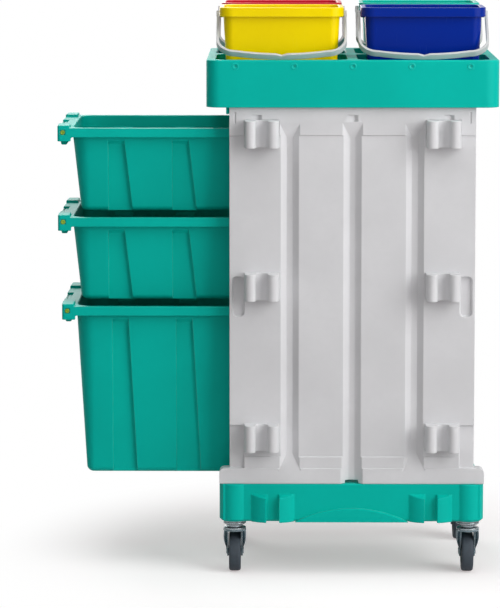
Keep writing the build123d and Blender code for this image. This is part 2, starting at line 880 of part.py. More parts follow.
def castor_tyre():
    """Rubber band round the hub with bevelled shoulders."""
    inner = wheel_diameter / 2 - tyre_thick + press_gap
    outer = wheel_diameter / 2
    wide = tyre_width / 2
    half = [
        (inner, -wide),
        (outer - tyre_shoulder, -wide),
        (outer, tyre_shoulder - wide),
        (outer, wide - tyre_shoulder),
        (outer - tyre_shoulder, wide),
        (inner, wide),
    ]
    return axle_line() * revolve(Plane.XZ * Polygon(*half, align=None), Axis.Z)


# Writing the pieces

os.makedirs("parts", exist_ok=True)

sides = {"front": Rot(0, 0, 0), "back": Rot(0, 0, 180)}
levels = ("top", "middle", "bottom")
save(base(), "base_platform")
save(tray(), "top_tray")

panel = side_panel()
rails = Compound(children=[runner(top) for top in drawer_tops])
column = clip_column()
for side, turn in sides.items():
    save(turn * panel, f"side_panel_{side}")
    for end, x in (("left", -clip_pitch), ("right", clip_pitch)):
        save(Pos(x, 0, 0) * turn * column, f"pole_clips_{side}_{end}")
save(rails, "drawer_runners_front")
save(mirror(rails, Plane.XZ), "drawer_runners_back")

shallow = drawer(shallow_depth, shallow_taper)
deep = drawer(deep_depth, deep_taper)
plugs = colour_plugs()
for level, top, shape in zip(levels, drawer_tops, (shallow, shallow, deep)):
    travel = drawer_travel - (deep_drawer_short if level == "bottom" else 0)
    out = Pos(-travel, 0, top)
    save(out * shape, f"drawer_{level}")
    save(out * plugs, f"drawer_plugs_{level}")

pail = bucket()
handle = bail()
colours = {"yellow": (-1, -1), "blue": (1, -1), "red": (-1, 1), "green": (1, 1)}
for colour, (along, across) in colours.items():
    spot = Pos(along * bucket_x, across * bucket_y, bucket_z)
    hang = Pos(along * bucket_x, across * bucket_y, pivot_z) * Rot(bail_angle(), 0, 0)
    save(spot * pail, f"bucket_{colour}")
    save(hang * handle, f"bail_{colour}")

corners = {"front_left": (-1, -1), "front_right": (1, -1), "back_left": (-1, 1), "back_right": (1, 1)}
castor = {
    "stem": castor_stem(),
    "fork": castor_fork(),
    "axle": castor_axle(),
    "hub": castor_hub(),
    "tyre": castor_tyre(),
}
for corner, (along, across) in corners.items():
    # The wheels of both pairs trail towards the middle of the cart
    spot = Pos(along * pillar_x, across * pillar_y, 0) * Rot(0, 0, 0 if across < 0 else 180)
    for name, shape in castor.items():
        save(spot * shape, f"castor_{corner}_{name}")
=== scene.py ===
import json
from itertools import combinations
from math import pi, radians, tan

import bmesh
import bpy
from mathutils import Matrix, Vector
from mathutils.geometry import intersect_point_line


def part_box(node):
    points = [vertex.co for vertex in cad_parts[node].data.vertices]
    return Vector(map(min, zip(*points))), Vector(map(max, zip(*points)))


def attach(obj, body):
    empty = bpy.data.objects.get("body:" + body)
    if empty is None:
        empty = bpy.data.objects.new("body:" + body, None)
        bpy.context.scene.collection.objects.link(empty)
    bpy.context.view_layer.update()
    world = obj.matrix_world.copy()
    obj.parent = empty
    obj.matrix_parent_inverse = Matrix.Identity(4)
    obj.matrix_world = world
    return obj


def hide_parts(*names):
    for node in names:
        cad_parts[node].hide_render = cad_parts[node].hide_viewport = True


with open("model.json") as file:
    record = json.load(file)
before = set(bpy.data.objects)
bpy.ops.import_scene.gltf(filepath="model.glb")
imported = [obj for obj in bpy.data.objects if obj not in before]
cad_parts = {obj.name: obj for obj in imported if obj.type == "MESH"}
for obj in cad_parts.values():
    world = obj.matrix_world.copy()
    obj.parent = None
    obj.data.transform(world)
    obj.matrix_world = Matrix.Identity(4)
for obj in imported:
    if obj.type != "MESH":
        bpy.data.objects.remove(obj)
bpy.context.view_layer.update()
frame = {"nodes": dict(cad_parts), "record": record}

bl_info = {
    "name": "Storage cart",
    "version": (1, 0, 0),
    "blender": (4, 5, 0),
    "location": "View3D > Sidebar > Cart",
    "description": "Dresses the packed storage cart and sets it in a plain studio",
    "category": "Object",
}

SIDES = {"front": -1, "back": 1}
ENDS = ("left", "right")
LEVELS = ("top", "middle", "bottom")
CORNERS = tuple(f"{side}_{end}" for side in SIDES for end in ENDS)
BUCKETS = ("yellow", "blue", "red", "green")

# Mesh work, in metres
MERGE = 1e-6  # points nearer than this are one
SLIVER = 1e-5  # the same where a cut has left slivers
FLAT = radians(0.5)  # faces that turn by less are one flat face
SHARP = radians(32)  # edges that turn by more are sharp
ONWARD = radians(135)  # edges that meet at a wider angle run on as one line
STRAIGHT = pi - 0.01  # edges that meet at a wider angle are straight
ACUTE = radians(25)  # a narrower corner leaves little room
ACUTE_ROOM = 0.1  # share of the room that such a corner leaves
OPPOSED = -0.2  # edges of a face whose directions multiply to less face each other
ROOM_SHARE = 0.35  # share of the free width that a soft edge takes
LEAST_SOFT = 0.00002  # a narrower edge stays sharp
SOFT_SEGMENTS = 3

# Small forms, in metres
DIMPLE_STEPS = range(-2, 3)  # from the middle of the tray, in dimple pitches
RUNNER_SCREWS = (-3, -1, 1, 3)  # from the middle of the cart, in rib pitches
RUNNER_SCREW_HEIGHT = 0.0012
PANEL_SCREWS = (-0.16, -0.05, 0.05, 0.16)  # from the middle of the cart
PANEL_SCREW_HEIGHT = 0.0026
PANEL_SCREW_SCALE = 1.3  # against a runner's screw
PLUG_DEPTH = 0.006
KINGPIN_BORE = 0.0051
AXLE_BORE = 0.0041
AXLE_RADIUS = 0.004
BOLT_HEAD = 0.002
BOLT_SOFT = 0.0003
HUB_RIM = 0.004
HUB_WEB = 0.004  # half of the web between boss and rim
HUB_SOFT = 0.0004
HUB_RIBS = 6
RIB_WIDTH = 0.0026
SMALL_STEPS, RING_STEPS, HEAD_STEPS, WHEEL_STEPS = 24, 32, 48, 64  # sides of turned pieces

# Finishes
# Pale colour painted along zinc edges as a painted highlight
ZINC_EDGE_HIGHLIGHT = (0.84, 0.88, 0.9)
# Pale steel painted along fork edges, partly worn bare metal and partly a painted highlight
BARE_STEEL_AND_HIGHLIGHT = (0.74, 0.8, 0.83)
BEVEL_SAMPLES = 6

# Stage, in metres
LAMPS = {  # place and size
    "key": ((3.1, -2.4, 2.1), 3.4),
    "front": ((-1.0, -4.5, 1.6), 3.0),
    "back": ((-1.2, 3.4, 2.0), 2.5),
    "top": ((0.1, -0.8, 3.4), 2.4),
}
AIM = Vector((0.15, 0, 0.6))
SENSOR_WIDTH = 36  # millimetres
CLIP_END = 100
FLOOR_SIZE = 60
FLOOR_LIT = (0.58, 0.55, 0.55)  # what the floor throws back on the cart
FLOOR_SEEN = (0.75, 0.757, 0.757)  # what the camera sees of its light and shadow
FLOOR_GLOW = (0.4, 0.366, 0.366)  # what lifts its shadows
FADE_MIDDLE = (0.15, 0.0, 0.0)
FADE_STRETCH = (1, 0.8, 1)
FADE_START, FADE_END = 0.39, 0.76  # the floor turns white between these distances


def linear(red, green, blue):
    """Scene colour of an 8 bit display colour, by the sRGB curve."""
    parts = (value / 255 for value in (red, green, blue))
    return tuple(v / 12.92 if v <= 0.04045 else ((v + 0.055) / 1.055) ** 2.4 for v in parts)


def middle(node):
    """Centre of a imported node's box."""
    low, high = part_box(node)
    return (Vector(low) + Vector(high)) / 2


# Settings


def colour(name, description, default):
    """A colour setting."""
    return bpy.props.FloatVectorProperty(
        name=name, description=description, subtype="COLOR", size=3, min=0, max=1, default=default
    )


def length(name, description, default):
    """A length setting in metres."""
    return bpy.props.FloatProperty(
        name=name, description=description, unit="LENGTH", min=0, default=default
    )


def number(name, description, default, subtype="NONE"):
    """A setting that is a plain number, an angle or a power."""
    return bpy.props.FloatProperty(
        name=name, description=description, subtype=subtype, default=default
    )


class CartColours(bpy.types.PropertyGroup):
    """Colours of the cart's plastics, metal and rubber."""

    teal: colour("Teal", "Base, tray and drawers", linear(0, 185, 170))
    grey: colour("Grey", "Side panels, clips and runners", linear(217, 217, 219))
    bail: colour("Bail", "Bucket handles", linear(200, 202, 202))
    yellow: colour("Yellow", "Front left bucket", linear(255, 224, 0))
    blue: colour("Blue", "Front right bucket", linear(0, 40, 146))
    red: colour("Red", "Back left bucket", linear(205, 22, 42))
    green: colour("Green", "Back right bucket", linear(4, 186, 166))
    plug: colour("Plug", "Colour plugs of the pull bars", linear(142, 176, 58))
    castor: colour("Castor", "Zinc of the castor stems, rings and bolts", linear(138, 146, 150))
    fork: colour("Fork", "Dark coat of the castor forks", linear(74, 102, 114))
    hub: colour("Hub", "Wheel centres", linear(110, 114, 118))
    tyre: colour("Tyre", "Rubber of the wheels", linear(66, 74, 82))


class CartSizes(bpy.types.PropertyGroup):
    """Sizes of the small forms that the visual model adds."""

    large_edge: length("Large edge", "Softness of the edges of the base and the tray", 0.004)
    edge: length("Edge", "Softness of the edges of panels, drawers and buckets", 0.0022)
    fine_edge: length("Fine edge", "Softness of the edges of small parts", 0.0009)
    # The rubbed line is partly wear and partly a painted highlight; the same width rounds the
    # shading normal
    wear: length("Wear", "Width of the rubbed line along an edge", 0.0016)
    dimple_pitch: length("Dimple pitch", "Distance between the dimples of the tray's skirt", 0.114)
    dimple_drop: length("Dimple drop", "Middle of a dimple below the tray's rim", 0.012)
    dimple: length("Dimple", "Radius of the dished ring round a dimple", 0.007)
    screw: length("Screw", "Diameter of a screw head", 0.008)
    base_wall: length("Base wall", "Thickness of the base's deck", 0.004)
    runner_wall: length("Runner wall", "Thickness of a runner against the panel", 0.003)
    rim_middle: length("Rim middle", "Middle of a drawer's rim below its highest point", 0.014)
    rib_pitch: length("Rib pitch", "Half the distance between the panels' ribs", 0.061)
    head_height: length("Head height", "Height of a castor's swivel head", 0.0147)
    head_radius: length("Head radius", "Radius of a castor's swivel head", 0.0225)
    tyre: length("Tyre", "Depth of the rubber", 0.00795)


class CartStage(bpy.types.PropertyGroup):
    """Camera and light of the studio."""

    camera: bpy.props.FloatVectorProperty(
        name="Camera", description="Place of the camera", subtype="TRANSLATION",
        default=(0.0034, -6.8, 1.4065),
    )
    tilt: number("Tilt", "Fall of the view below level", 0.1098, "ANGLE")
    turn: number("Turn", "Turn of the view to the left", 0.00845, "ANGLE")
    lens: number("Lens", "Focal length in millimetres", 201.19)
    shift: number("Shift", "Upright shift of the frame", -0.1175)
    key: number("Key", "Power of the key light", 142, "POWER")
    front: number("Front", "Power of the light in front", 20, "POWER")
    back: number("Back", "Power of the light behind", 60, "POWER")
    top: number("Top", "Power of the light overhead", 42, "POWER")
    fill: number("Fill", "Strength of the surrounding light", 0.09)


# Materials


class Wire:
    """A node's output that adds Math nodes when it is reckoned with."""

    def __init__(self, paint, socket):
        self.paint = paint
        self.socket = socket

    def math(self, operation, *values):
        inputs = dict(enumerate(values))
        return self.paint.node("ShaderNodeMath", 0, inputs, operation=operation)

    def __add__(self, other):
        return self.math("ADD", self, other)

    def __radd__(self, other):
        return self.math("ADD", other, self)

    def __sub__(self, other):
        return self.math("SUBTRACT", self, other)

    def __rsub__(self, other):
        return self.math("SUBTRACT", other, self)

    def __mul__(self, other):
        return self.math("MULTIPLY", self, other)

    def __rmul__(self, other):
        return self.math("MULTIPLY", other, self)


class Paint:
    """A node tree that is filled one node at a time."""

    def __init__(self, owner, last):
        owner.use_nodes = True
        self.owner = owner
        self.tree = owner.node_tree
        self.last = self.tree.nodes[last]

    @classmethod
    def material(cls, name):
        return cls(bpy.data.materials.new(name), "Principled BSDF")

    def node(self, kind, output, inputs=(), **settings):
        """Add a node with its settings and inputs, and return one of its outputs."""
        made = self.tree.nodes.new(kind)
        for name, value in settings.items():
            setattr(made, name, value)
        self.feed(made, inputs)
        return Wire(self, made.outputs[output])

    def feed(self, node, inputs):
        """Set or link the inputs of a node."""
        for name, value in dict(inputs).items():
            if isinstance(value, Wire):
                self.tree.links.new(value.socket, node.inputs[name])
            else:
                node.inputs[name].default_value = value

    def place(self, scale=(1, 1, 1)):
        """Object coordinates, stretched by scale."""
        where = self.node("ShaderNodeTexCoord", "Object")
        return self.node("ShaderNodeMapping", 0, {"Vector": where, "Scale": scale})

    def noise(self, size, detail=2.0, stretch=(1, 1, 1)):
        """Noise from 0 to 1 whose patches are about size metres across."""
        inputs = {"Vector": self.place(stretch), "Scale": 1 / size, "Detail": detail}
        return self.node("ShaderNodeTexNoise", 0, inputs)

    def band(self, value, low, high):
        """Smooth step of a value from 0 at low to 1 at high."""
        inputs = {"Value": value, "From Min": low, "From Max": high}
        return self.node("ShaderNodeMapRange", 0, inputs, interpolation_type="SMOOTHSTEP")

    def mix(self, factor, first, second):
        """Colour between first and second."""
        inputs = {0: factor, 6: self.rgba(first), 7: self.rgba(second)}
        return self.node("ShaderNodeMix", 2, inputs, data_type="RGBA")

    @staticmethod
    def rgba(value):
        return value if isinstance(value, Wire) else (*value, 1.0)

    def round(self, radius):
        """Normal that turns gently over the edges."""
        return self.node("ShaderNodeBevel", 0, {"Radius": radius}, samples=BEVEL_SAMPLES)

    def edge(self, normal):
        """How much of an edge a point is, from 0 on the flat to 1."""
        flat = self.node("ShaderNodeNewGeometry", "Normal")
        inputs = {0: normal, 1: flat}
        facing = self.node("ShaderNodeVectorMath", "Value", inputs, operation="DOT_PRODUCT")
        return self.band(1 - facing, low=0.02, high=0.25)

    def bump(self, height, distance, normal):
        """Normal that follows a height."""
        inputs = {"Height": height, "Distance": distance, "Strength": 1.0, "Normal": normal}
        return self.node("ShaderNodeBump", 0, inputs)

    def finish(self, **inputs):
        """Set the inputs of the tree's shader, given with underscores for spaces."""
        self.feed(self.last, {name.replace("_", " "): value for name, value in inputs.items()})
        return self.owner


def tint(shade, factor):
    """A colour made darker or lighter."""
    return tuple(min(1.0, value * factor) for value in shade)


def paler(shade, share):
    """A colour taken a share of the way to white."""
    return tuple(value + share * (1 - value) for value in shade)


def moulded_plastic(name, shade, radius, gloss, grain):
    """Moulded plastic with a fine grain, slow shade drift, faint scuffs and shiny edges painted
    paler, partly as rubbed wear and partly as a painted highlight.
    """
    paint = Paint.material(name)
    normal = paint.round(radius)
    edge = paint.edge(normal)
    drift = paint.noise(size=0.16, detail=3.0)
    mottle = paint.noise(size=0.012)
    streaks = paint.noise(size=0.004, detail=3.0, stretch=(1, 1, 0.06))
    scuff = paint.band(streaks, low=0.62, high=0.78)
    rub_and_highlight = paint.band(paint.noise(size=0.02, detail=3.0), low=0.35, high=0.7) * edge
    body = paint.mix(paint.band(drift, low=0.3, high=0.7), tint(shade, 0.96), tint(shade, 1.03))
    body = paint.mix(paint.band(mottle, low=0.35, high=0.75) * 0.2, body, tint(shade, 0.94))
    # Paler edges: noisy rubbed wear plus an even painted highlight along every edge
    body = paint.mix(rub_and_highlight * 0.4 + edge * 0.1, body, paler(shade, 0.22))
    return paint.finish(
        Base_Color=body,
        Roughness=gloss + 0.06 * drift + 0.1 * scuff - 0.06 * edge,
        Specular_IOR_Level=0.08,
        Coat_Weight=edge * 0.8,
        Coat_Roughness=0.22,
        Normal=paint.bump(paint.noise(size=0.0011) * 0.5 + mottle, grain, normal),
    )


def zinc_steel(name, shade, radius):
    """Zinc plated steel with a cloudy spangle and edges painted pale as a painted highlight."""
    paint = Paint.material(name)
    normal = paint.round(radius)
    edge = paint.edge(normal)
    cloud = paint.noise(size=0.006, detail=4.0)
    brush = paint.noise(size=0.0012, stretch=(1, 1, 0.05))
    body = paint.mix(paint.band(cloud, low=0.3, high=0.7), tint(shade, 0.8), tint(shade, 1.1))
    # Painted highlight: every edge taken most of the way to a pale zinc
    body = paint.mix(edge * 0.8, body, ZINC_EDGE_HIGHLIGHT)
    return paint.finish(
        Base_Color=body,
        Roughness=0.18 + 0.14 * cloud - 0.08 * edge,
        Metallic=0.9,
        Normal=paint.bump(brush + cloud, 0.00004, normal),
    )


def slate_steel(name, shade, radius):
    """Pressed sheet with a dark satin coat, rubbed to bright metal at its edges, partly as wear
    and partly as a painted highlight.
    """
    paint = Paint.material(name)
    normal = paint.round(radius)
    edge = paint.edge(normal)
    cloud = paint.noise(size=0.009, detail=3.0)
    rub_and_highlight = edge * paint.band(paint.noise(size=0.006, detail=3.0), low=0.1, high=0.4)
    body = paint.mix(paint.band(cloud, low=0.3, high=0.7), tint(shade, 0.8), tint(shade, 1.25))
    # Paler edges: partly worn bare steel, partly a painted highlight
    body = paint.mix(rub_and_highlight, body, BARE_STEEL_AND_HIGHLIGHT)
    return paint.finish(
        Base_Color=body,
        Roughness=0.42 + 0.12 * cloud - 0.12 * edge,
        Metallic=0.1 + 0.6 * rub_and_highlight,
        Specular_IOR_Level=0.2,
        Normal=paint.bump(cloud, 0.00005, normal),
    )


def tyre_rubber(name, shade, radius):
    """Dark rubber, dusty where it has rolled, with its edges painted lighter as a painted
    highlight.
    """
    paint = Paint.material(name)
    normal = paint.round(radius)
    edge = paint.edge(normal)
    dust = paint.band(paint.noise(size=0.008, detail=4.0), low=0.4, high=0.75)
    body = paint.mix(dust * 0.3, shade, tint(shade, 1.7))
    # Painted highlight: edges lighter
    body = paint.mix(edge * 0.3, body, tint(shade, 1.9))
    return paint.finish(
        Base_Color=body,
        Roughness=0.6 + 0.2 * dust,
        Specular_IOR_Level=0.25,
        Normal=paint.bump(paint.noise(size=0.0009), 0.00006, normal),
    )


def finish_for(slot):
    """Material of one of the record's slots, made on first use."""
    name = f"cart_{slot}"
    if name in bpy.data.materials:
        return bpy.data.materials[name]
    cart = bpy.context.scene.storage_cart
    edge = cart.sizes.wear
    shade = tuple(getattr(cart.colours, slot.split("_")[0]))
    if slot == "castor_steel":
        return zinc_steel(name, shade, edge)
    if slot == "fork_steel":
        return slate_steel(name, shade, edge * 1.6)
    if slot == "tyre_rubber":
        return tyre_rubber(name, shade, edge)
    if slot in ("teal_plastic", "grey_plastic"):
        return moulded_plastic(name, shade, edge, gloss=0.45, grain=0.00009)
    return moulded_plastic(name, shade, edge, gloss=0.22, grain=0.00004)


# Mesh helpers


def solid_of(node):
    """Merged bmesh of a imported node, with whole flat faces and corners that touch kept apart."""
    bm = bmesh.new()
    bm.from_mesh(frame["nodes"][node].data)
    bmesh.ops.remove_doubles(bm, verts=bm.verts, dist=MERGE)
    bmesh.ops.dissolve_limit(bm, angle_limit=FLAT, verts=bm.verts, edges=bm.edges)
    for vert in [vert for vert in bm.verts if not vert.is_manifold]:
        bmesh.utils.vert_separate(vert, [])
    return bm


def turn_between(vert, first, second):
    """Angle between two edges that leave a point."""
    ahead = first.other_vert(vert).co - vert.co
    aside = second.other_vert(vert).co - vert.co
    return ahead.angle(aside, pi)


def room_beside(edge, sharp):
    """Free width beside a sharp edge, from the edges that leave its ends."""
    room = 1.0
    for vert in edge.verts:
        for other in vert.link_edges:
            turn = turn_between(vert, edge, other)
            if other == edge or turn > STRAIGHT:
                continue
            if turn < ONWARD:
                share = ACUTE_ROOM if turn < ACUTE else 1.0
                room = min(room, other.calc_length() * min(1.0, tan(turn / 2)) * share)
            elif other in sharp:
                shorter = min(edge.calc_length(), other.calc_length())
                room = min(room, shorter * tan(turn / 2) / 2)
    return room


def gap_between(first, second):
    """Distance between two edges, measured from their ends and middles."""
    gaps = []
    for one, other in ((first, second), (second, first)):
        start, end = (vert.co for vert in one.verts)
        low, high = (vert.co for vert in other.verts)
        for point in (start, end, (start + end) / 2):
            part = intersect_point_line(point, low, high)[1]
            gaps.append((point - low.lerp(high, min(1.0, max(0.0, part)))).length)
    return min(gaps)


def narrow_faces(bm, room):
    """Limit the room of sharp edges that face each other across one flat face."""
    for face in bm.faces:
        loops = [loop for loop in face.loops if loop.edge in room and len(face.verts) > 4]
        ahead = {loop: (loop.link_loop_next.vert.co - loop.vert.co).normalized() for loop in loops}
        for first, second in combinations(loops, 2):
            if ahead[first].dot(ahead[second]) < OPPOSED:
                gap = gap_between(first.edge, second.edge)
                if gap > 0:
                    room[first.edge] = min(room[first.edge], gap)
                    room[second.edge] = min(room[second.edge], gap)


def weigh_edges(bm, width):
    """Let each line of sharp edges round by a width, or by less where there is no room for it."""
    weight = bm.edges.layers.float.new("bevel_weight_edge")
    sharp = {edge for edge in bm.edges if edge.is_manifold and edge.calc_face_angle() > SHARP}
    room = {edge: room_beside(edge, sharp) for edge in sharp}
    narrow_faces(bm, room)
    lines = []
    for vert in bm.verts:
        for pair in combinations([edge for edge in vert.link_edges if edge in sharp], 2):
            if turn_between(vert, *pair) > ONWARD:
                lines.append(pair)
    settled = False
    while not settled:
        settled = True
        for first, second in lines:
            if room[first] != room[second]:
                room[first] = room[second] = min(room[first], room[second])
                settled = False
    for edge, free in room.items():
        if ROOM_SHARE * free > LEAST_SOFT:
            edge[weight] = min(1.0, ROOM_SHARE * free / width)
    bmesh.ops.triangulate(bm, faces=[face for face in bm.faces if len(face.verts) > 4])


def slot_of(node):
    """The record's material slot of a node."""
    for part in frame["record"]["subparts"]:
        if part["node"] == node:
            return part["material_slot"]
    raise RuntimeError(f"no material slot is recorded for {node}")


def body_of(node):
    """The record's body that carries a node."""
    for body, members in frame["record"]["behaviour"]["bodies"].items():
        if node in members:
            return body
    raise RuntimeError(f"no body carries {node}")


def add_piece(bm, name, slot, body, stands_for=(), soft=0.0):
    """Make an object of a bmesh, with soft edges where asked, and let it ride on a body."""
    mesh = bpy.data.meshes.new(name)
    if soft:
        weigh_edges(bm, soft)
    bm.to_mesh(mesh)
    bm.free()
    if "custom_normal" in mesh.attributes:
        mesh.attributes.remove(mesh.attributes["custom_normal"])
    mesh.materials.append(finish_for(slot))
    mesh.shade_smooth()
    mesh.set_sharp_from_angle(angle=SHARP)
    obj = bpy.data.objects.new(name, mesh)
    bpy.context.scene.collection.objects.link(obj)
    if soft:
        bevel = obj.modifiers.new("soft_edges", "BEVEL")
        bevel.width = soft
        bevel.segments = SOFT_SEGMENTS
        bevel.limit_method = "WEIGHT"
        bevel.use_clamp_overlap = False
        bevel.loop_slide = False
        bevel.harden_normals = True
    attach(obj, body)
    if stands_for:
        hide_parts(*stands_for)
    return obj


def turned(outline, steps):
    """Bmesh turned about Z from a closed outline of radius and height."""
    bm = bmesh.new()
    ring = [bm.verts.new((radius, 0, height)) for radius, height in outline]
    edges = [bm.edges.new(pair) for pair in zip(ring, ring[1:] + ring[:1])]
    bmesh.ops.spin(
        bm, geom=ring + edges, cent=(0, 0, 0), axis=(0, 0, 1), angle=2 * pi, steps=steps,
        use_merge=True,
    )
    bmesh.ops.remove_doubles(bm, verts=bm.verts, dist=MERGE)
    bmesh.ops.recalc_face_normals(bm, faces=bm.faces)
    return bm


def both_sides(side):
    """Closed outline of a wheel, from the points of one side and the same points mirrored."""
    return side + [(radius, -height) for radius, height in reversed(side)]


def along(axis, place):
    """Matrix that lays the Z axis along a direction and moves the origin to a place."""
    return Matrix.Translation(place) @ Vector(axis).to_track_quat("Z", "Y").to_matrix().to_4x4()


def joined(parts):
    """One bmesh of several placed bmeshes, given as pairs of bmesh and matrix."""
    whole = bmesh.new()
    for part, matrix in parts:
        part.transform(matrix)
        mesh = bpy.data.meshes.new("part")
        part.to_mesh(mesh)
        part.free()
        whole.from_mesh(mesh)
        bpy.data.meshes.remove(mesh)
    return whole


def prism(sides, radius, height):
    """Upright prism on the origin with a number of sides."""
    bm = bmesh.new()
    bmesh.ops.create_cone(
        bm, cap_ends=True, segments=sides, radius1=radius, radius2=radius, depth=height,
        matrix=Matrix.Translation((0, 0, height / 2)),
    )
    return bm


def screw_head(width, height):
    """Low round screw head on the origin with a socket in its top."""
    radius = width / 2
    socket = radius * 0.36
    outline = [
        (0, 0), (radius, 0), (radius, height * 0.3), (radius * 0.82, height * 0.8),
        (radius * 0.55, height), (socket, height), (socket, height * 0.35), (0, height * 0.3),
    ]
    return turned(outline, SMALL_STEPS)


def smooth_copy(node, soft):
    """A piece with a node's own form, merged and with its edges softened."""
    name = f"{node}_shell"
    return add_piece(solid_of(node), name, slot_of(node), body_of(node), (node,), soft)


# Operators


class CartOperator(bpy.types.Operator):
    """Common settings of the cart's operators."""

    bl_options = {"REGISTER", "UNDO"}

    @property
    def cart(self):
        return bpy.context.scene.storage_cart


class CART_OT_base(CartOperator):
    """Dress the base platform and the tray, and ring the tray's dimples."""

    bl_idname = "cart.base"
    bl_label = "Base and tray"

    def execute(self, context):
        for node in ("base_platform", "top_tray"):
            smooth_copy(node, self.cart.sizes.large_edge)
        self.add_rings()
        return {"FINISHED"}

    def add_rings(self):
        """Set a dished ring round each dimple of the tray's skirt."""
        sizes = self.cart.sizes
        ring = sizes.dimple
        hole, sink, dish, lip = 0.37 * ring, -0.0004, 0.0002, 0.0006
        outline = [
            (hole, sink), (ring, sink), (0.98 * ring, dish), (0.88 * ring, lip),
            (0.76 * ring, lip), (0.6 * ring, dish), (hole, dish / 2),
        ]
        low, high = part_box("top_tray")
        centre = middle("top_tray")
        rings = []
        for across, y in ((-1, low[1]), (1, high[1])):
            for step in DIMPLE_STEPS:
                place = (centre.x + step * sizes.dimple_pitch, y, high[2] - sizes.dimple_drop)
                rings.append((turned(outline, RING_STEPS), along((0, across, 0), place)))
        add_piece(joined(rings), "tray_dimple_rings", "teal_plastic", "cart_frame")


class CART_OT_panels(CartOperator):
    """Dress the side panels, their pole clips and the drawer runners."""

    bl_idname = "cart.panels"
    bl_label = "Panels"

    def execute(self, context):
        sizes = self.cart.sizes
        for side in SIDES:
            smooth_copy(f"side_panel_{side}", sizes.edge)
            smooth_copy(f"drawer_runners_{side}", sizes.fine_edge)
            for end in ENDS:
                smooth_copy(f"pole_clips_{side}_{end}", sizes.fine_edge)
        return {"FINISHED"}


class CART_OT_screws(CartOperator):
    """Add the screws that hold the runners to the panels and the panels to the base."""

    bl_idname = "cart.screws"
    bl_label = "Screws"

    def execute(self, context):
        for side, across in SIDES.items():
            self.add_runner_screws(side, across)
            self.add_panel_screws(side)
        return {"FINISHED"}

    def add_runner_screws(self, side, across):
        """Set screws in the three runners of one panel."""
        sizes = self.cart.sizes
        centre = middle("base_platform")
        low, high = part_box(f"drawer_runners_{side}")
        wall = across * (max(abs(low[1]), abs(high[1])) - sizes.runner_wall)
        heads = []
        for level in LEVELS:
            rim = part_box(f"drawer_{level}")[1][2] - sizes.rim_middle
            for step in RUNNER_SCREWS:
                head = screw_head(sizes.screw, RUNNER_SCREW_HEIGHT)
                place = (centre.x + step * sizes.rib_pitch, wall, rim)
                heads.append((head, along((0, -across, 0), place)))
        add_piece(joined(heads), f"runner_screws_{side}", "castor_steel", "cart_frame")

    def add_panel_screws(self, side):
        """Set screws under the base's deck, up into one panel."""
        sizes = self.cart.sizes
        centre = middle("base_platform")
        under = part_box("base_platform")[1][2] - sizes.base_wall
        heads = []
        for step in PANEL_SCREWS:
            head = screw_head(PANEL_SCREW_SCALE * sizes.screw, PANEL_SCREW_HEIGHT)
            place = (centre.x + step, middle(f"side_panel_{side}").y, under)
            heads.append((head, along((0, 0, -1), place)))
        add_piece(joined(heads), f"panel_screws_{side}", "castor_steel", "cart_frame")


class CART_OT_drawers(CartOperator):
    """Dress the three drawers and set the dished colour plugs in their pull bars."""

    bl_idname = "cart.drawers"
    bl_label = "Drawers"

    def execute(self, context):
        for level in LEVELS:
            smooth_copy(f"drawer_{level}", self.cart.sizes.edge)
            self.set_plugs(level)
        return {"FINISHED"}

    @staticmethod
    def set_plugs(level):
        """Set a plug with a rounded rim and a dished face in each end of a pull bar."""
        node = f"drawer_plugs_{level}"
        low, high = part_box(node)
        centre = middle(node)
        radius = (high[0] - low[0]) / 2
        outline = [
            (0, -PLUG_DEPTH), (radius, -PLUG_DEPTH), (radius, -0.0012), (radius * 0.92, -0.0003),
            (radius * 0.8, 0), (radius * 0.6, 0), (radius * 0.5, -0.0005), (0, -0.0008),
        ]
        plugs = []
        for y, outward in ((low[1], -1), (high[1], 1)):
            turn = along((0, outward, 0), (centre.x, y, centre.z))
            plugs.append((turned(outline, RING_STEPS), turn))
        add_piece(joined(plugs), f"{node}_pair", slot_of(node), body_of(node), (node,))


class CART_OT_buckets(CartOperator):
    """Dress the four buckets and their bails."""

    bl_idname = "cart.buckets"
    bl_label = "Buckets"

    def execute(self, context):
        for name in BUCKETS:
            smooth_copy(f"bucket_{name}", self.cart.sizes.edge)
            smooth_copy(f"bail_{name}", self.cart.sizes.fine_edge)
        return {"FINISHED"}


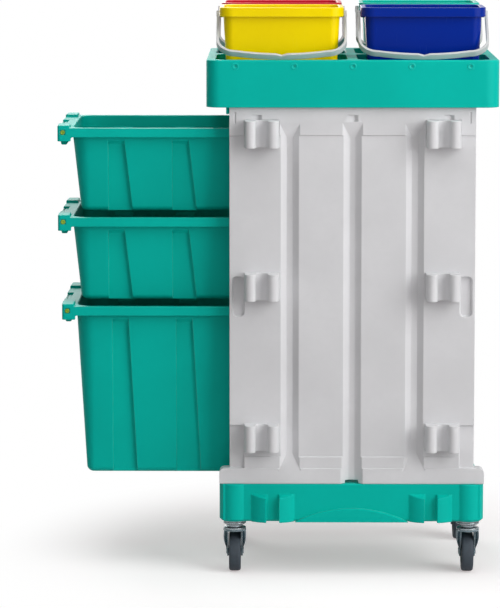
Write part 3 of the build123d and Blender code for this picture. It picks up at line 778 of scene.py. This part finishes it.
class CART_OT_forks(CartOperator):
    """Build the castors' fixed stems, ringed swivel heads and dark legs."""

    bl_idname = "cart.forks"
    bl_label = "Castor forks"

    def execute(self, context):
        for corner in CORNERS:
            smooth_copy(f"castor_{corner}_stem", self.cart.sizes.fine_edge)
            self.add_legs(corner)
            self.add_head(corner)
        return {"FINISHED"}

    def add_legs(self, corner):
        """Keep the fork below its swivel head."""
        node = f"castor_{corner}_fork"
        soft = self.cart.sizes.fine_edge
        bm = solid_of(node)
        crown = (0, 0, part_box(node)[1][2] - self.cart.sizes.head_height)
        geom = [*bm.verts, *bm.edges, *bm.faces]
        bmesh.ops.bisect_plane(bm, geom=geom, plane_co=crown, plane_no=(0, 0, 1), clear_outer=True)
        bmesh.ops.remove_doubles(bm, verts=bm.verts, dist=SLIVER)
        bmesh.ops.holes_fill(bm, edges=[edge for edge in bm.edges if edge.is_boundary])
        bmesh.ops.recalc_face_normals(bm, faces=bm.faces)
        add_piece(bm, f"{node}_legs", slot_of(node), body_of(node), (node,), soft)

    def add_head(self, corner):
        """Turn the swivel head: two rings with a neck between them."""
        stem = middle(f"castor_{corner}_stem")
        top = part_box(f"castor_{corner}_fork")[1][2]
        foot = -self.cart.sizes.head_height
        ring = self.cart.sizes.head_radius
        neck = ring * 0.6
        outline = [
            (KINGPIN_BORE, foot), (ring * 0.96, foot), (ring, foot + 0.001), (ring, foot + 0.003),
            (ring * 0.9, foot + 0.0045), (neck, foot + 0.0052), (neck, -0.0056),
            (ring * 0.9, -0.0046), (ring, -0.003), (ring, -0.0006), (ring * 0.97, 0),
            (KINGPIN_BORE, 0),
        ]
        bm = turned(outline, HEAD_STEPS)
        bm.transform(Matrix.Translation((stem.x, stem.y, top)))
        name = f"castor_{corner}_swivel_head"
        add_piece(bm, name, "castor_steel", f"fork_{corner}", (f"castor_{corner}_fork",))


class CART_OT_wheels(CartOperator):
    """Build the castors' tyres, ribbed hubs and axle bolts."""

    bl_idname = "cart.wheels"
    bl_label = "Castor wheels"

    def execute(self, context):
        for corner in CORNERS:
            self.add_tyre(f"castor_{corner}_tyre")
            self.add_hub(f"castor_{corner}_hub")
            self.add_axle(f"castor_{corner}_axle")
        return {"FINISHED"}

    @staticmethod
    def half_sizes(node):
        """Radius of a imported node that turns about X, and half its length."""
        low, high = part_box(node)
        return (high[2] - low[2]) / 2, (high[0] - low[0]) / 2

    @staticmethod
    def add(bm, node, soft=0.0):
        """Lay a turned bmesh along the axle in place of a node."""
        bm.transform(along((1, 0, 0), middle(node)))
        add_piece(bm, f"{node}_turned", slot_of(node), body_of(node), (node,), soft)

    def add_tyre(self, node):
        """Turn a tyre with a line round its sides and a rounded tread."""
        outer, half = self.half_sizes(node)
        inner = outer - self.cart.sizes.tyre
        line = half - 0.0006
        side = [
            (inner, half), (outer - 0.0052, half), (outer - 0.0048, line), (outer - 0.0042, line),
            (outer - 0.0038, half), (outer - 0.0018, half - 0.0009),
            (outer - 0.0006, half - 0.0026), (outer, half - 0.0062),
        ]
        self.add(turned(both_sides(side), WHEEL_STEPS), node)

    def add_hub(self, node):
        """Turn a hub with a boss, a web and a rim, and set ribs across the web."""
        outer, face = self.half_sizes(node)
        rim = outer - HUB_RIM
        edge = face - 0.0017
        boss = outer * 0.34
        side = [
            (AXLE_BORE, face), (boss - 0.001, face), (boss, face - 0.001), (boss + 0.001, HUB_WEB),
            (rim, HUB_WEB), (rim, edge - 0.0008), (rim + 0.0008, edge), (outer, edge),
        ]
        parts = [(turned(both_sides(side), WHEEL_STEPS), Matrix.Identity(4))]
        size = Matrix.Diagonal((rim - boss + 0.002, RIB_WIDTH, 1.4 * edge, 1))
        out = Matrix.Translation(((rim + boss) / 2, 0, 0))
        for step in range(HUB_RIBS):
            rib = bmesh.new()
            bmesh.ops.create_cube(rib, size=1, matrix=size)
            parts.append((rib, Matrix.Rotation(step * 2 * pi / HUB_RIBS, 4, "Z") @ out))
        self.add(joined(parts), node, HUB_SOFT)

    def add_axle(self, node):
        """Make a bolt with a hexagonal head at each end."""
        head, half = self.half_sizes(node)
        seat = half - BOLT_HEAD
        shaft = prism(RING_STEPS, AXLE_RADIUS, 2 * seat)
        parts = [(shaft, Matrix.Translation((0, 0, -seat)))]
        for turn in (0, pi):
            flip = Matrix.Rotation(turn, 4, "X")
            parts.append((prism(6, head, BOLT_HEAD), flip @ Matrix.Translation((0, 0, seat))))
        self.add(joined(parts), node, BOLT_SOFT)


class CART_OT_stage(CartOperator):
    """Lay the floor, set the lights and place the camera."""

    bl_idname = "cart.stage"
    bl_label = "Stage"

    def execute(self, context):
        stage = self.cart.stage
        scene = context.scene
        scene.view_settings.view_transform = "Standard"
        self.lay_floor(scene)
        self.set_world(scene, stage.fill)
        for name, (place, size) in LAMPS.items():
            self.hang_light(scene, f"{name}_light", place, size, getattr(stage, name))
        self.place_camera(scene, stage)
        return {"FINISHED"}

    @staticmethod
    def seen(paint):
        """1 where the camera, a gloss or a clear piece sees the stage, and 0 for its light."""
        ray = "ShaderNodeLightPath"
        gloss = paint.node(ray, "Is Glossy Ray") + paint.node(ray, "Is Transmission Ray")
        return paint.band(paint.node(ray, "Is Camera Ray") + gloss, low=0, high=1)

    def lay_floor(self, scene):
        """Lay a floor that shows shadows near the cart and is white further away."""
        bm = bmesh.new()
        bmesh.ops.create_grid(bm, x_segments=1, y_segments=1, size=FLOOR_SIZE)
        mesh = bpy.data.meshes.new("floor")
        bm.to_mesh(mesh)
        bm.free()
        paint = Paint.material("floor_paint")
        seen = self.seen(paint)
        paint.finish(
            Base_Color=paint.mix(seen, FLOOR_LIT, FLOOR_SEEN),
            Roughness=0.9,
            Emission_Color=paint.mix(seen, (0, 0, 0), FLOOR_GLOW),
            Emission_Strength=1.0,
            Specular_IOR_Level=0.0,
        )
        inputs = {0: paint.place(FADE_STRETCH), 1: FADE_MIDDLE}
        away = paint.node("ShaderNodeVectorMath", "Value", inputs, operation="DISTANCE")
        fade = seen * paint.band(away, low=FADE_START, high=FADE_END)
        near = Wire(paint, paint.last.outputs[0])
        white = paint.node("ShaderNodeEmission", 0, {"Color": (1, 1, 1, 1), "Strength": 1.0})
        both = paint.node("ShaderNodeMixShader", 0, {0: fade, 1: near, 2: white})
        paint.feed(paint.tree.nodes["Material Output"], {"Surface": both})
        mesh.materials.append(paint.owner)
        floor = bpy.data.objects.new("floor", mesh)
        scene.collection.objects.link(floor)

    def set_world(self, scene, fill):
        """Surround the cart with white that lights it only by the fill."""
        scene.world = bpy.data.worlds.new("studio")
        paint = Paint(scene.world, "Background")
        paint.finish(Color=(1, 1, 1, 1), Strength=self.seen(paint) * (1 - fill) + fill)

    @staticmethod
    def hang_light(scene, name, place, size, power):
        """Hang a square lamp that faces the cart."""
        data = bpy.data.lights.new(name, "AREA")
        data.size = size
        data.energy = power
        lamp = bpy.data.objects.new(name, data)
        lamp.location = place
        lamp.rotation_euler = (AIM - Vector(place)).to_track_quat("-Z", "Y").to_euler()
        scene.collection.objects.link(lamp)

    @staticmethod
    def place_camera(scene, stage):
        data = bpy.data.cameras.new("view")
        data.lens = stage.lens
        data.sensor_width = SENSOR_WIDTH
        data.shift_y = stage.shift
        data.clip_end = CLIP_END
        camera = bpy.data.objects.new("view", data)
        camera.location = stage.camera
        camera.rotation_euler = (pi / 2 - stage.tilt, 0, stage.turn)
        scene.collection.objects.link(camera)
        scene.camera = camera


class CART_PT_sidebar(bpy.types.Panel):
    """The cart's operators and settings."""

    bl_idname = "CART_PT_sidebar"
    bl_label = "Storage cart"
    bl_space_type = "VIEW_3D"
    bl_region_type = "UI"
    bl_category = "Cart"

    def draw(self, context):
        cart = context.scene.storage_cart
        for operator in OPERATORS:
            self.layout.operator(operator.bl_idname)
        for group in (cart.colours, cart.sizes, cart.stage):
            for name in group.bl_rna.properties.keys():
                if name not in ("rna_type", "name"):
                    self.layout.prop(group, name)


class CartSettings(bpy.types.PropertyGroup):
    """All settings of the cart."""

    colours: bpy.props.PointerProperty(type=CartColours)
    sizes: bpy.props.PointerProperty(type=CartSizes)
    stage: bpy.props.PointerProperty(type=CartStage)


OPERATORS = (
    CART_OT_base,
    CART_OT_panels,
    CART_OT_screws,
    CART_OT_drawers,
    CART_OT_buckets,
    CART_OT_forks,
    CART_OT_wheels,
    CART_OT_stage,
)
CLASSES = (CartColours, CartSizes, CartStage, CartSettings, *OPERATORS, CART_PT_sidebar)


def register():
    for item in CLASSES:
        bpy.utils.register_class(item)
    bpy.types.Scene.storage_cart = bpy.props.PointerProperty(type=CartSettings)


def unregister():
    del bpy.types.Scene.storage_cart
    for item in reversed(CLASSES):
        bpy.utils.unregister_class(item)


def main():
    register()
    bpy.ops.cart.base()
    bpy.ops.cart.panels()
    bpy.ops.cart.screws()
    bpy.ops.cart.drawers()
    bpy.ops.cart.buckets()
    bpy.ops.cart.forks()
    bpy.ops.cart.wheels()
    bpy.ops.cart.stage()


if __name__ == "__main__":
    main()
